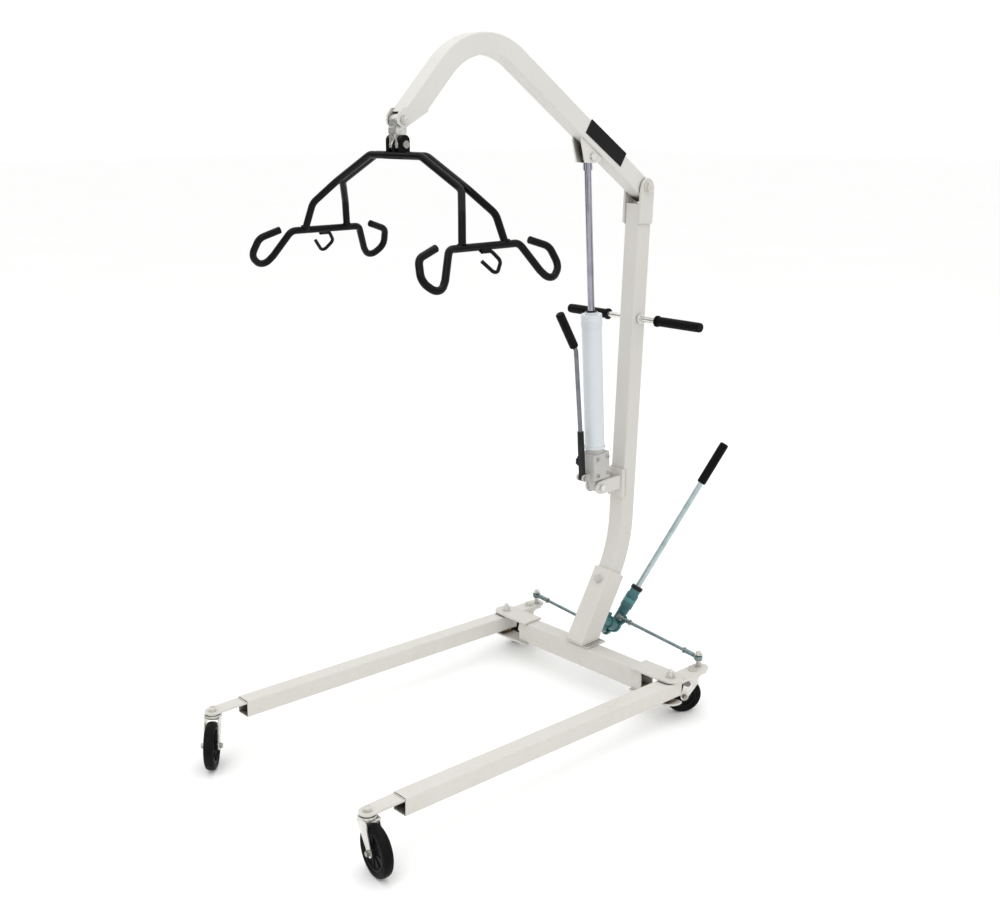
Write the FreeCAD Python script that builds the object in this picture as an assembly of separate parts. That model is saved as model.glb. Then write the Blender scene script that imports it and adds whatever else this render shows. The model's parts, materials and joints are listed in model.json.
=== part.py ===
import FreeCAD, Part
import os
from math import sin, cos, tan, radians, degrees, atan2, sqrt, pi
from FreeCAD import Vector as V, Rotation, Placement

# Patient lift hoist. Millimetres, +Z up, the legs and the boom point to -Y,
# +X is the side the shift lever leans to.
# Origin: floor level, on the line between the two leg pivots, in the middle plane.

# ---- driving dimensions -------------------------------------------------
LEG_X = 322.0            # leg centre line from the middle plane
LEG_TUBE = 45.0          # square tube of the legs
LEG_WALL = 2.5
LEG_FRONT = -925.0       # open front end of the leg tube
LEG_TILT = 1.3          # legs climb towards the front, degrees
LEG_TOP = 120.0          # tube top above the floor at the pivot
STEM_F = V(LEG_X, -1013.0, 0)     # front caster stem
STEM_R = V(LEG_X, 92.0, 0)       # rear caster stem
CROSS_L = 240.0          # half length of the cross tube
CROSS_Y, CROSS_Z0, CROSS_Z1 = 25.0, 64.0, 124.0
PLATE = 5.0
WHEEL_F, WHEEL_R, TREAD = 60.0, 50.0, 24.0   # wheel radii and width
TRAIL_F, TRAIL_R = 38.0, 24.0
YAW_FR, YAW_FL = -9.4, -40.0     # direction each front wheel trails in, degrees from +X
YAW_RR, YAW_RL = -125.0, -125.0
LEAN = 31.0              # mast socket leans back
MAST = 50.0              # square tube of the mast
MAST_LEAN = 2.6          # upper mast leans back
MAST_R = 350.0           # bend radius of the mast
PIVOT = V(0, 186.0, 1396.0)       # boom pivot
BOOM_H, BOOM_W, BOOM_R = 50.0, 45.0, 175.0
BOOM_REAR, BOOM_FRONT = 34.5, 46.0    # slopes of the two arms of the boom
TIP = V(0, -638.0, 1574.0)        # bolt at the boom tip
PU = V(0, -19.0, 1480.0)          # upper pump pivot
PL = V(0, 38.0, 585.0)            # lower pump pivot
CYL_R, ROD_R = 27.0, 9.0
HP = V(0, -17.0, 620.0)           # pump handle pivot
BAR_C = V(0, 172.7, 1043.0)       # push handle bar
CRANK_D, CRANK_S = 114.0, 59.7    # crank plane behind the socket axis, height along it
CRANK_R, CRANK_A = 32.0, 48.8     # pin circle of the crank
LEVER_LEAN = 12.4
ARM_PIN = V(LEG_X - 5.0, 124.0, 0)
BAR_Z = 1316.0           # end bars of the cradle
BAR_X = 290.0
ROD = 8.5                # radius of the cradle rods
CORNER = 4.0             # corner radius of the rolled square tubes
HUBZ = 1521.0            # cross pin of the cradle
CRY = TIP.y

os.makedirs("parts", exist_ok=True)
OUT = {}

def put(name, *shapes):
    s = shapes[0] if len(shapes) == 1 else Part.makeCompound(list(shapes))
    OUT[name] = s
    return s

def box(x0, x1, y0, y1, z0, z1):
    return Part.makeBox(x1 - x0, y1 - y0, z1 - z0, V(x0, y0, z0))

def rolled(s, along_axis, r):
    """Rounds the four long corners of a box whose length runs along one axis."""
    keep = []
    for e in s.Edges:
        b_ = e.BoundBox
        if [b_.XLength, b_.YLength, b_.ZLength][along_axis] > 30 and sum(1 for q in (b_.XLength, b_.YLength, b_.ZLength) if q > 1e-6) == 1:
            keep.append(e)
    return s.makeFillet(r, keep)

def cyl(p, d, r, h):
    return Part.makeCylinder(r, h, p, d)

def cyl2(a, b, r):
    return Part.makeCylinder(r, (b - a).Length, a, b - a)

def tube(a, b, ro, ri):
    return cyl2(a, b, ro).cut(cyl2(a - (b - a).normalize() * 1.0, b + (b - a).normalize() * 1.0, ri))

def hexa(p, d, af, h, hole=0.0):
    r = af / sqrt(3.0)
    pts = [V(r * cos(radians(60 * i + 30)), r * sin(radians(60 * i + 30)), 0) for i in range(7)]
    s = Part.Face(Part.makePolygon(pts)).extrude(V(0, 0, h))
    if hole:
        s = s.cut(Part.makeCylinder(hole, h + 2, V(0, 0, -1)))
    s.Placement = Placement(p, Rotation(V(0, 0, 1), d))
    return s

def fuse(first, *rest):
    s = first
    for r in rest:
        s = s.fuse(r)
    return s.removeSplitter()

def turned(shape, centre, axis, ang):
    s = shape.copy()
    s.rotate(centre, axis, ang)
    return s

def sweep_round(pts, r, bend):
    """Round bar along a polyline whose corners are bent with radius `bend`."""
    edges = []
    cur = pts[0]
    for i in range(1, len(pts) - 1):
        a, b, c = pts[i - 1], pts[i], pts[i + 1]
        u = (a - b).normalize(); w = (c - b).normalize()
        ang = u.getAngle(w)
        br = bend[i - 1] if isinstance(bend, (list, tuple)) else bend
        t = br / tan(ang / 2.0)
        p, q = b + u * t, b + w * t
        m = (u + w).normalize()
        mid = b + m * (br / sin(ang / 2.0) - br)
        if (p - cur).Length > 1e-6:
            edges.append(Part.makeLine(cur, p))
        edges.append(Part.Arc(p, mid, q).toShape())
        cur = q
    if (pts[-1] - cur).Length > 1e-6:
        edges.append(Part.makeLine(cur, pts[-1]))
    wire = Part.Wire(edges)
    d = (pts[1] - pts[0]).normalize()
    prof = Part.Wire([Part.makeCircle(r, pts[0], d)])
    return Part.Solid(wire.makePipeShell([prof], True, False, 2))

def square_sweep(pts, w, h, bend, corner=0.0):
    """Rectangular bar (w along X, h in the YZ plane) along a polyline in the YZ plane."""
    def strip(half, x0, x1, cutend=0.0):
        out = []
        for side in (1, -1):
            line = []
            cur = None
            n = len(pts)
            for i in range(n):
                if i in (0, n - 1):
                    d = (pts[1] - pts[0]).normalize() if i == 0 else (pts[-1] - pts[-2]).normalize()
                    nrm = V(0, -d.z, d.y)
                    line.append(("p", pts[i] + nrm * half * side))
                else:
                    a, b, c = pts[i - 1], pts[i], pts[i + 1]
                    u = (a - b).normalize(); v = (c - b).normalize()
                    ang = u.getAngle(v)
                    t = bend / tan(ang / 2.0)
                    m = (u + v).normalize()
                    cen = b + m * (bend / sin(ang / 2.0))
                    p, q = b + u * t, b + v * t
                    mid = b + m * (bend / sin(ang / 2.0) - bend)
                    d1 = (b - a).normalize(); n1 = V(0, -d1.z, d1.y)
                    inner = 1 if (cen - p).dot(n1) > 0 else -1
                    rr = bend - inner * side * half
                    line.append(("a", cen + (p - cen).normalize() * rr, cen + (mid - cen).normalize() * rr, cen + (q - cen).normalize() * rr))
            out.append(line)
        def edges_of(line):
            es = []; cur = line[0][1]
            for e in line[1:]:
                if e[0] == "p":
                    es.append(Part.makeLine(cur, e[1])); cur = e[1]
                else:
                    es.append(Part.makeLine(cur, e[1])); es.append(Part.Arc(e[1], e[2], e[3]).toShape()); cur = e[3]
            return es
        a, b = out
        es = edges_of(a) + edges_of(b) + [Part.makeLine(a[0][1], b[0][1]), Part.makeLine(a[-1][1], b[-1][1])]
        w_ = Part.Wire(Part.__sortEdges__(es))
        f = Part.Face(w_)
        f.translate(V(x0, 0, 0))
        return f.extrude(V(x1 - x0, 0, 0))
    s = strip(h / 2.0, -w / 2.0, w / 2.0)
    if corner:
        ends = [(pts[0], (pts[1] - pts[0]).normalize()), (pts[-1], (pts[-1] - pts[-2]).normalize())]
        long_ = []
        for e in s.Edges:
            b_ = e.BoundBox
            if b_.XLength > 1e-6:
                continue
            if any(abs((v_.Point - p_).dot(d_)) > 1e-4 for p_, d_ in ends for v_ in e.Vertexes[:1]) and not any(all(abs((v_.Point - p_).dot(d_)) < 1e-4 for v_ in e.Vertexes) for p_, d_ in ends):
                long_.append(e)
        s = s.makeFillet(corner, long_)
    return s

def mirror(s):
    return s.mirror(V(0, 0, 0), V(1, 0, 0))

X, Y, Z = V(1, 0, 0), V(0, 1, 0), V(0, 0, 1)
lean = radians(LEAN)
U = V(0, sin(lean), cos(lean))        # socket axis
N = V(0, cos(lean), -sin(lean))       # square to the socket, pointing back
P0 = V(0, 3, 150)

# ---- cross-member with its pivot plates and the mast socket --------------
cross = rolled(box(-CROSS_L, CROSS_L, -CROSS_Y, CROSS_Y, CROSS_Z0, CROSS_Z1), 0, CORNER).cut(
    box(-CROSS_L - 1, CROSS_L + 1, -CROSS_Y + 3, CROSS_Y - 3, CROSS_Z0 + 3, CROSS_Z1 - 3))
def pivot_plate(z0):
    pl = box(CROSS_L - 34, LEG_X, -34, 34, z0, z0 + PLATE).fuse(cyl(V(LEG_X, 0, z0), Z, 34, PLATE))
    if z0 < 100:      # lower plate is trimmed clear of the rear wheel's swing
        pl = pl.cut(box(CROSS_L - 40, LEG_X + 60, 13, 60, z0 - 1, z0 + PLATE + 1))
    return pl.cut(cyl(V(LEG_X, 0, z0 - 1), Z, 6.3, PLATE + 2))
def frame(a, b, w, h):
    """Solid square bar from a to b, w wide along X, h across in the YZ plane."""
    d = (b - a); L = d.Length
    s = Part.makeBox(w, h, L, V(-w / 2.0, -h / 2.0, 0))
    s.Placement = Placement(a, Rotation(V(0, 0, 1), d))
    return s
SOCK_LO, SOCK_HI = -50.0, 196.0
SEAT_Z = 138.0           # foot of the socket, on a pad above the cross tube
sock = frame(P0 + U * SOCK_LO, P0 + U * SOCK_HI, 61, 61)
sock_in = frame(P0 + U * (-12.0), P0 + U * (SOCK_HI + 2), 51.4, 51.4)
low = box(-60, 60, -120, 120, 20, SEAT_Z)
sock = sock.cut(low)
sock_in = sock_in.cut(box(-40, 40, -80, 90, 20, SEAT_Z + 3.5))
foot_plate = box(-40, 40, -25, 48, CROSS_Z1, CROSS_Z1 + 5).fuse(box(-28, 28, -25, 33, CROSS_Z1 + 5, SEAT_Z))
seat = box(-30.5, 30.5, -38.5, 31.0, SEAT_Z, SEAT_Z + 3.5)
# crank bracket: two webs from the back of the socket out to a boss
CC = P0 + N * CRANK_D + U * CRANK_S
boss = cyl(P0 + N * 30 + U * CRANK_S, N, 15, CRANK_D - 30 - 4.4)
web = Part.makeBox(8, 52, 56, V(-4, 0, -28))
web.Placement = Placement(P0 + U * CRANK_S + N * 28, Rotation(X, -LEAN))
plate_b = cyl(P0 + N * 29 + U * CRANK_S, N, 26, 8)
bolt_hole = cyl(P0 + N * 36 + U * CRANK_S, N, 6.15, CRANK_D)
base = fuse(cross, pivot_plate(CROSS_Z1), pivot_plate(CROSS_Z0 - PLATE), mirror(pivot_plate(CROSS_Z1)), mirror(pivot_plate(CROSS_Z0 - PLATE)), foot_plate, sock, seat)
base = base.fuse(plate_b).fuse(boss).fuse(web).removeSplitter()
base = base.cut(sock_in)
BS = P0 + U * 161
base = base.cut(cyl(BS - N * 60, N, 6.2, 120)).cut(bolt_hole)
put("cross_member", base)

# socket bolt through socket and mast
mast_bolts = [fuse(cyl(BS - N * 31, N, 6.0, 72), hexa(BS - N * 40.0, N, 19, 7.5), cyl(BS - N * 32.6, N, 12, 2)),
    fuse(tube(BS + N * 31.2, BS + N * 33.2, 12, 6.1), hexa(BS + N * 33.2, N, 19, 6.0, 6.1))]

# crank pivot bolt
put("crank_pivot_bolt", fuse(cyl(P0 + N * 37 + U * CRANK_S, N, 6.0, CRANK_D - 37 + 10), hexa(CC + N * 8.5, N, 19, 8)))

# ---- mast ------------------------------------------------------------------
up = V(0, tan(radians(MAST_LEAN)), 1).normalize()
A = P0 + U * (-0.0)
low_dir = U
vert = V(0, 142.8, 382.6)
top = V(0, 149 + (1352 - 520) * tan(radians(MAST_LEAN)), 1352)
start = vert - U * ((vert - P0).Length + (-10.0))
m_out = square_sweep([start, vert, top], MAST, MAST, MAST_R, CORNER)
m_in = square_sweep([start - U * 5, vert, top + up * (-6)], MAST - 6, MAST - 6, MAST_R)
mast = m_out.cut(m_in)
# head: two ears around the boom
def ear(x0):
    e = box(x0, x0 + 6, PIVOT.y - 26, PIVOT.y + 26, 1300, PIVOT.z)
    e = turned(e, V(0, PIVOT.y, PIVOT.z), X, -MAST_LEAN)
    return e.fuse(cyl(V(x0, PIVOT.y, PIVOT.z), X, 24, 6)).removeSplitter()
mast = fuse(mast, ear(25.0), ear(-31.0))
# lower pump bracket
pbk = box(-26, 26, 118, 134, 540, 622)
lug = fuse(box(16, 22, PL.y, 124, PL.z - 19, PL.z + 19), cyl(V(16, PL.y, PL.z), X, 19, 6))
mast = fuse(mast, pbk.cut(box(-21.9, 21.9, 125, 140, 500, 700)), lug, mirror(lug))
mast = mast.cut(cyl(V(-40, PL.y, PL.z), X, 5.15, 80))
mast = mast.cut(cyl(V(-40, PIVOT.y, PIVOT.z), X, 8.2, 80)).cut(cyl(BS - N * 60, N, 6.2, 120)).cut(cyl(BAR_C - X * 60, X, 8.05, 120))
put("mast_tube", mast)

# ---- push handles --------------------------------------------------------
put("push_handle_bar", cyl(BAR_C - X * 232, X, 8.0, 464))
grips = []
for sgn in (1, -1):
    g = fuse(cyl(BAR_C + X * 88, X, 13.0, 146), cyl(BAR_C + X * 88, X, 15.5, 5), cyl(BAR_C + X * 232, X, 12.0, 6))
    try:
        ed = [e for e in g.Edges if abs(e.BoundBox.XMin - (BAR_C.x + 238)) < 0.01]
        g = g.makeFillet(4.0, ed)
    except Exception:
        pass
    g = g.cut(cyl(BAR_C - X * 1, X, 8.0, 233.5))
    grips.append(g if sgn > 0 else mirror(g))
put("push_grips", *grips)

# ---- legs -----------------------------------------------------------------
def leg():
    L = LEG_FRONT
    hw = LEG_TUBE / 2.0
    t = rolled(box(LEG_X - hw, LEG_X + hw, L, 20, LEG_TOP - LEG_TUBE, LEG_TOP), 1, CORNER)
    hollow = box(LEG_X - hw + LEG_WALL, LEG_X + hw - LEG_WALL, L - 1, 30, LEG_TOP - LEG_TUBE + LEG_WALL, LEG_TOP - LEG_WALL)
    t = t.cut(hollow)
    t = turned(t, V(0, 0, LEG_TOP), X, -LEG_TILT)
    # tongue over the front caster, welded under the top wall
    tg = fuse(box(LEG_X - 20, LEG_X + 20, STEM_F.y, L + 60, 133.0, 138.0), cyl(V(LEG_X, STEM_F.y, 133), Z, 20, 5))
    tg = tg.cut(cyl(V(LEG_X, STEM_F.y, 130), Z, 6.05, 12))
    # rear arm: channel over the rear caster, with the tie rod hole at its end
    arm = fuse(box(LEG_X - 22.5, LEG_X + 22.5, 14, 126, 113.5, 119.5), cyl(V(LEG_X, 126, 113.5), Z, 22.5, 6))
    web_ = box(LEG_X - 22.5, LEG_X - 19.5, 16, 126, 108.5, 116).fuse(box(LEG_X + 19.5, LEG_X + 22.5, 16, 126, 108.5, 116))
    end = box(LEG_X - 22.5, LEG_X + 22.5, 16, 20, 75.5, 117)
    arm = fuse(arm, web_, end)
    s = fuse(t, tg, arm)
    tubehole = Part.makeCylinder(11.0, 60, V(LEG_X, 0, 66))
    sleeve = tube(V(LEG_X, 0, 75.4), V(LEG_X, 0, 119.6), 11.0, 8.6)
    s = s.cut(tubehole).fuse(sleeve).removeSplitter()
    s = s.cut(cyl(V(LEG_X, 0, 60), Z, 8.6, 70))
    s = s.cut(cyl(V(ARM_PIN.x, ARM_PIN.y, 100), Z, 4.0, 40)).cut(cyl(V(STEM_R.x, STEM_R.y, 100), Z, 6.05, 40))
    return s
lg = leg()
put("leg_right", lg)
put("leg_left", mirror(lg))

def pivot_set(sx):
    """Leg pivot bolt, flanged bush and washers."""
    x = LEG_X * sx
    bolt = fuse(cyl(V(x, 0, CROSS_Z0 - PLATE - 2), Z, 6.0, 150 - CROSS_Z0 + PLATE + 2), hexa(V(x, 0, CROSS_Z0 - PLATE - 10.5), Z, 19, 8.0), cyl(V(x, 0, CROSS_Z0 - PLATE - 2.5), Z, 12, 2.4))
    nut = fuse(tube(V(x, 0, 129.1), V(x, 0, 131.6), 13, 6.1), hexa(V(x, 0, 131.6), Z, 19, 11, 6.1))
    return bolt, nut
r, l = pivot_set(1), pivot_set(-1)
put("leg_pivot_bolts", r[0], l[0], r[1], l[1])
def bush(sx):
    x = LEG_X * sx
    b = tube(V(x, 0, 74.4), V(x, 0, 120.6), 8.52, 6.1)
    w1 = tube(V(x, 0, 120.6), V(x, 0, 123.9), 17, 6.1)
    w2 = tube(V(x, 0, 64.1), V(x, 0, 74.4), 13, 6.1)
    return b, w1, w2
put("leg_pivot_bushes", *(bush(1) + bush(-1)))

# caster stems and swivel heads, held by the legs
def stem(p, zb, zt, dead):
    """Swivel head under the plate, stem through it and nut on top."""
    head = fuse(cyl(V(p.x, p.y, zb + 0.3), Z, 17, (zt - zb) - 0.3 - 0.05), cyl(V(p.x, p.y, zb - 6.5), Z, 5.9, zt - zb + 6.4))
    head = fuse(head, cyl(V(p.x, p.y, zt - 1), Z, 6.0, 6.0), cyl(V(p.x, p.y, zt + 4), Z, 6.0, 8.5))
    head = fuse(head, cyl(V(p.x, p.y, zb - 6.5), Z, 9.5, 2.6))
    nut = fuse(tube(V(p.x, p.y, zt + dead + 0.05), V(p.x, p.y, zt + dead + 1.9), 11.5, 6.1), hexa(V(p.x, p.y, zt + dead + 1.9), Z, 18, 6.6, 6.1))
    return head, nut
F_CR, R_CR = 127.0, 106.5      # underside of the swivel heads
s1 = stem(STEM_F, F_CR, 133.0, 5.0)
s2 = stem(STEM_R, R_CR, 113.5, 6.0)
put("right_caster_stems", *(s1 + s2))
put("left_caster_stems", *[mirror(q) for q in (s1 + s2)])

# tie rod studs
def stud():
    x, y = ARM_PIN.x, ARM_PIN.y
    st = fuse(cyl(V(x, y, 107.3), Z, 3.95, 56.7), hexa(V(x, y, 156.1), Z, 13, 7), cyl(V(x, y, 154.6), Z, 11.0, 1.6), tube(V(x, y, 119.6), V(x, y, 139.4), 7.0, 3.5), cyl(V(x, y, 137.9), Z, 11.0, 1.6))
    nut = hexa(V(x, y, 107.4), Z, 13, 6.0, 4.0)
    return st, nut
q = stud()
put("right_tie_rod_stud", *q)
put("left_tie_rod_stud", *[mirror(k) for k in q])

# ---- casters ---------------------------------------------------------------
def caster(tag, stem_p, R, trail, yaw, crown_z, brake):
    d = V(cos(radians(yaw)), sin(radians(yaw)), 0)
    c = V(stem_p.x, stem_p.y, 0) + d * trail + Z * R        # wheel centre
    ax = V(-d.y, d.x, 0)                                     # axle direction
    def loc(s):
        s.Placement = Placement(V(stem_p.x, stem_p.y, 0), Rotation(Z, yaw)).multiply(s.Placement)
        return s
    # local frame: +x is the trail direction, wheel in the xz plane
    crown = cyl(V(0, 0, crown_z - 3), Z, 22, 3).fuse(box(0, 26, -19, 19, crown_z - 3, crown_z))
    arm = None
    for sy in (1, -1):
        y0 = 16.0 if sy > 0 else -19.0
        pts = [V(-14, y0, crown_z - 3), V(24, y0, crown_z - 3), V(trail + 11, y0, R), V(trail - 11, y0, R), V(-14, y0, crown_z - 16), V(-14, y0, crown_z - 3)]
        a = Part.Face(Part.makePolygon(pts)).extrude(V(0, 3, 0))
        a = a.fuse(cyl(V(trail, y0, R), Y, 11, 3))
        # short top so that the arm meets the crown
        a = a.fuse(box(-14, 24, y0, y0 + 3, crown_z - 8, crown_z - 0.5))
        arm = a if arm is None else arm.fuse(a)
    s = crown.fuse(arm).removeSplitter()
    s = s.cut(cyl(V(0, 0, crown_z - 10), Z, 6.4, 20)).cut(cyl(V(trail, -30, R), Y, 4.05, 60))
    if brake:
        s = s.cut(cyl(V(PED_X, -30, PED_Z), Y, 3.06, 60))
    fork = loc(s)
    put(tag + "_caster_fork", fork)
    axle = loc2(stem_p, yaw, trail, R)
    put(tag + "_axle", axle)
    w = TREAD / 2.0
    # tyre: rounded tread on a rim
    prof = Part.makePolygon([V(R - 15, -w + 2.0, 0), V(R - 5, -w, 0), V(R - 2.5, -w + 1.6, 0), V(R - 0.7, -w + 5.0, 0), V(R, -w + 9.5, 0), V(R, w - 9.5, 0), V(R - 0.7, w - 5.0, 0), V(R - 2.5, w - 1.6, 0), V(R - 5, w, 0), V(R - 15, w - 2.0, 0), V(R - 15, -w + 2.0, 0)])
    ty = Part.Face(prof).revolve(V(0, 0, 0), Y, 360)
    ty.Placement = Placement(V(trail, 0, R), Rotation())
    put(tag + "_tyre", loc(ty))
    hp = Part.makePolygon([V(4.08, -14.5, 0), V(12, -14.5, 0), V(13, -8, 0), V(R - 22, -6, 0), V(R - 20, -w + 3, 0), V(R - 15, -w + 3, 0), V(R - 15, w - 3, 0), V(R - 20, w - 3, 0), V(R - 22, 6, 0), V(13, 8, 0), V(12, 14.5, 0), V(4.08, 14.5, 0), V(4.08, -14.5, 0)])
    hb = Part.Face(hp).revolve(V(0, 0, 0), Y, 360)
    hb.Placement = Placement(V(trail, 0, R), Rotation())
    put(tag + "_wheel_hub", loc(hb))

def loc2(stem_p, yaw, trail, R):
    a = fuse(cyl(V(trail, -22, R), Y, 4.0, 44), cyl(V(trail, -23.5, R), Y, 7.0, 4.3), cyl(V(trail, 19.2, R), Y, 7.0, 4.3))
    a.Placement = Placement(V(stem_p.x, stem_p.y, 0), Rotation(Z, yaw))
    return a
SF_L = V(-STEM_F.x, STEM_F.y, 0); SR_L = V(-STEM_R.x, STEM_R.y, 0)
PED_X, PED_Z = 16.0, 88.0       # brake pedal pivot in the fork, ahead of the stem and above the floor
caster("front_right", STEM_F, WHEEL_F, TRAIL_F, YAW_FR, F_CR, False)
caster("front_left", SF_L, WHEEL_F, TRAIL_F, YAW_FL, F_CR, False)
caster("rear_right", STEM_R, WHEEL_R, TRAIL_R, YAW_RR, R_CR, True)
caster("rear_left", SR_L, WHEEL_R, TRAIL_R, YAW_RL, R_CR, True)
def pedal():
    """Toe pedal above the rear tyre, on two short pins in the fork cheeks."""
    t = TRAIL_R
    pts = [V(t + 15, 0, 104.0), V(t + 18, 0, 107.0), V(t + 42.5, 0, 89.3), V(t + 40.5, 0, 86.3)]
    p = Part.Face(Part.makePolygon(pts + [pts[0]])).extrude(V(0, 44.8, 0))
    p.translate(V(0, -22.4, 0))
    for sy in (1, -1):
        y0 = 19.4 if sy > 0 else -22.4
        q = [V(PED_X - 3, y0, PED_Z - 6), V(PED_X + 5, y0, PED_Z - 6), V(t + 22, y0, 98), V(t + 17, y0, 105), V(t + 13, y0, 104), V(PED_X - 5, y0, PED_Z + 5)]
        p = p.fuse(Part.Face(Part.makePolygon(q + [q[0]])).extrude(V(0, 3, 0)))
        p = p.fuse(cyl(V(PED_X, y0, PED_Z), Y, 7, 3)).fuse(cyl(V(PED_X, 16.3 if sy > 0 else -20.0, PED_Z), Y, 3.0, 3.7))
    return p.removeSplitter()
# ---- crank, lever and tie rods --------------------------------------------
def inpl(x, s, d=0.0):
    return CC + X * x + U * s + N * d
a0 = radians(CRANK_A)
RP = (CRANK_R * cos(a0), CRANK_R * sin(a0))
LP = (-RP[0], -RP[1])
ld = V(sin(radians(LEVER_LEAN)), 0, cos(radians(LEVER_LEAN)))
LD = X * sin(radians(LEVER_LEAN)) + U * cos(radians(LEVER_LEAN))      # along the lever
LW = X * cos(radians(LEVER_LEAN)) - U * sin(radians(LEVER_LEAN))      # across the lever
def prism(pts, d0, d1):
    w_ = Part.makePolygon([CC + LW * a + LD * b + N * d0 for a, b in pts + [pts[0]]])
    return Part.Face(w_).extrude(N * (d1 - d0))
plate_c = fuse(cyl(inpl(0, 0, -4), N, 22, 8), cyl(inpl(*RP, -4), N, 13, 8), cyl(inpl(*LP, -4), N, 13, 8), prism([(-16, 0), (16, 0), (14, 60), (-14, 60)], -4, 4),
               Part.Face(Part.makePolygon([inpl(RP[0] - 9, RP[1] + 9, -4), inpl(RP[0] + 9, RP[1] - 9, -4), inpl(LP[0] + 9, LP[1] - 9, -4), inpl(LP[0] - 9, LP[1] + 9, -4), inpl(RP[0] - 9, RP[1] + 9, -4)])).extrude(N * 8))
clamp = fuse(prism([(-17, 46), (17, 46), (17, 118), (-17, 118)], 4, 11), prism([(-17, 46), (-9, 46), (-9, 118), (-17, 118)], -13, 11), prism([(9, 46), (17, 46), (17, 118), (9, 118)], -13, 11), prism([(-15, 52), (15, 52), (15, 112), (-15, 112)], -4, 6))
ctube = cyl(CC + LD * 44, LD, 15.5, 76)
crank = fuse(plate_c, ctube)
crank = crank.fuse(cyl(CC + LD * 62, LD, 18.0, 13)).fuse(cyl(CC + LD * 92, LD, 18.0, 13)).removeSplitter()
crank = crank.cut(cyl(CC + LD * 48, LD, 8.0, 90)).cut(cyl(inpl(0, 0, -10), N, 6.07, 20)).cut(cyl(inpl(*RP, -10), N, 5.03, 20)).cut(cyl(inpl(*LP, -10), N, 5.03, 20))
put("crank", crank)
put("lever_rod", cyl(CC + LD * 50, LD, 8.0, 540))
gr = cyl(CC + LD * 484, LD, 13.0, 134)
try:
    gr = gr.makeFillet(5.0, [e for e in gr.Edges if len(e.Vertexes) == 1])
except Exception:
    pass
put("lever_grip", gr.cut(cyl(CC + LD * 480, LD, 8.0, 110.5)))
pins = []
for p_, sd in ((RP, 1), (LP, 1)):
    pins.append(fuse(cyl(inpl(*p_, -22), N, 5.0, 28), hexa(inpl(*p_, 4.1), N, 15, 6), cyl(inpl(*p_, -22.0), N, 9.0, 3.0)))
put("crank_pins", *pins)

ROD_END_S = 0.0
LEGPIN = V(ARM_PIN.x, 122.2, 147.0)
def tie(sx):
    p_ = RP if sx > 0 else LP
    c0 = inpl(p_[0], p_[1], -11.0)
    e0 = V(LEGPIN.x * sx, LEGPIN.y, LEGPIN.z)
    dr = (e0 - c0).normalize()
    eye = cyl(inpl(p_[0], p_[1], -18.5), N, 9.5, 13.5).cut(cyl(inpl(p_[0], p_[1], -22), N, 5.05, 20))
    far = cyl(e0 - Z * 4.0, Z, 12.0, 8.0)
    b = cyl2(c0 + dr * 8.0, e0 - dr * 9.0, 4.5)
    b2 = cyl2(e0 - dr * 48, e0 - dr * 14, 6.5)
    b3 = cyl2(c0 + dr * 8, c0 + dr * 34, 6.5)
    s = fuse(b, b2, b3, eye, far)
    return s.cut(cyl(e0 - Z * 10, Z, 7.8, 20)).cut(cyl(inpl(p_[0], p_[1], -24), N, 5.05, 28))
put("right_tie_rod", tie(1))
put("left_tie_rod", tie(-1))

# ---- boom --------------------------------------------------------------------
rs, fs = radians(BOOM_REAR), radians(BOOM_FRONT)
vtx = V(0, -404.6, 1798.4)
rear_end = V(0, PIVOT.y, PIVOT.z - 3.0)
rd = V(0, -cos(rs), sin(rs))                 # from the pivot forward and up
rear = rear_end - rd * 30.0
fd = V(0, -cos(fs), -sin(fs))
front = V(0, -603.0, 1593.0) + fd * 26.0
b_out = square_sweep([rear, vtx, front], BOOM_W, BOOM_H, BOOM_R, CORNER)
b_in = square_sweep([rear - rd * 5, vtx, front + fd * 5], BOOM_W - 6, BOOM_H - 6, BOOM_R)
boom = b_out.cut(b_in)
boom = boom.cut(box(-60, 60, -760, -560, 1400, 1592.0))
lugp = [V(17.0, -566, 1603), V(17.0, -640, 1600), V(17.0, -652, 1585), V(17.0, -652, 1566), V(17.0, -630, 1558), V(17.0, -566, 1592)]
lg_t = Part.Face(Part.makePolygon(lugp + [lugp[0]])).extrude(V(5.4, 0, 0))
lg_t = lg_t.fuse(cyl(V(17.0, TIP.y, TIP.z), X, 15, 5.4)).removeSplitter()
boom = fuse(boom, lg_t, mirror(lg_t))
# bush housing at the pivot and the pump bracket under the boom
hous = cyl(V(-22.5, PIVOT.y, PIVOT.z), X, 14.0, 45)
boom = boom.fuse(hous).removeSplitter()
br = [V(13.0, -58, 1533), V(13.0, 22, 1478), V(13.0, 6, 1466), V(13, -19, 1464), V(13.0, -44, 1466), V(13.0, -60, 1522)]
br_ = Part.Face(Part.makePolygon(br + [br[0]])).extrude(V(5.0, 0, 0))
boom = fuse(boom, br_, mirror(br_))
inner_cut = square_sweep([rear + rd * 60, vtx, front + fd * 5], BOOM_W - 6, BOOM_H - 6, BOOM_R)
boom = boom.cut(inner_cut.cut(box(-30, 30, -700, -560, 1500, 1640)))
boom = boom.cut(cyl(V(-60, PIVOT.y, PIVOT.z), X, 10.0, 120)).cut(cyl(V(-60, TIP.y, TIP.z), X, 5.15, 120)).cut(cyl(V(-60, PU.y, PU.z), X, 5.2, 120))
put("boom_arm", boom)
put("boom_pivot_bush", tube(V(-24.5, PIVOT.y, PIVOT.z), V(24.5, PIVOT.y, PIVOT.z), 9.95, 8.3))
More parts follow.
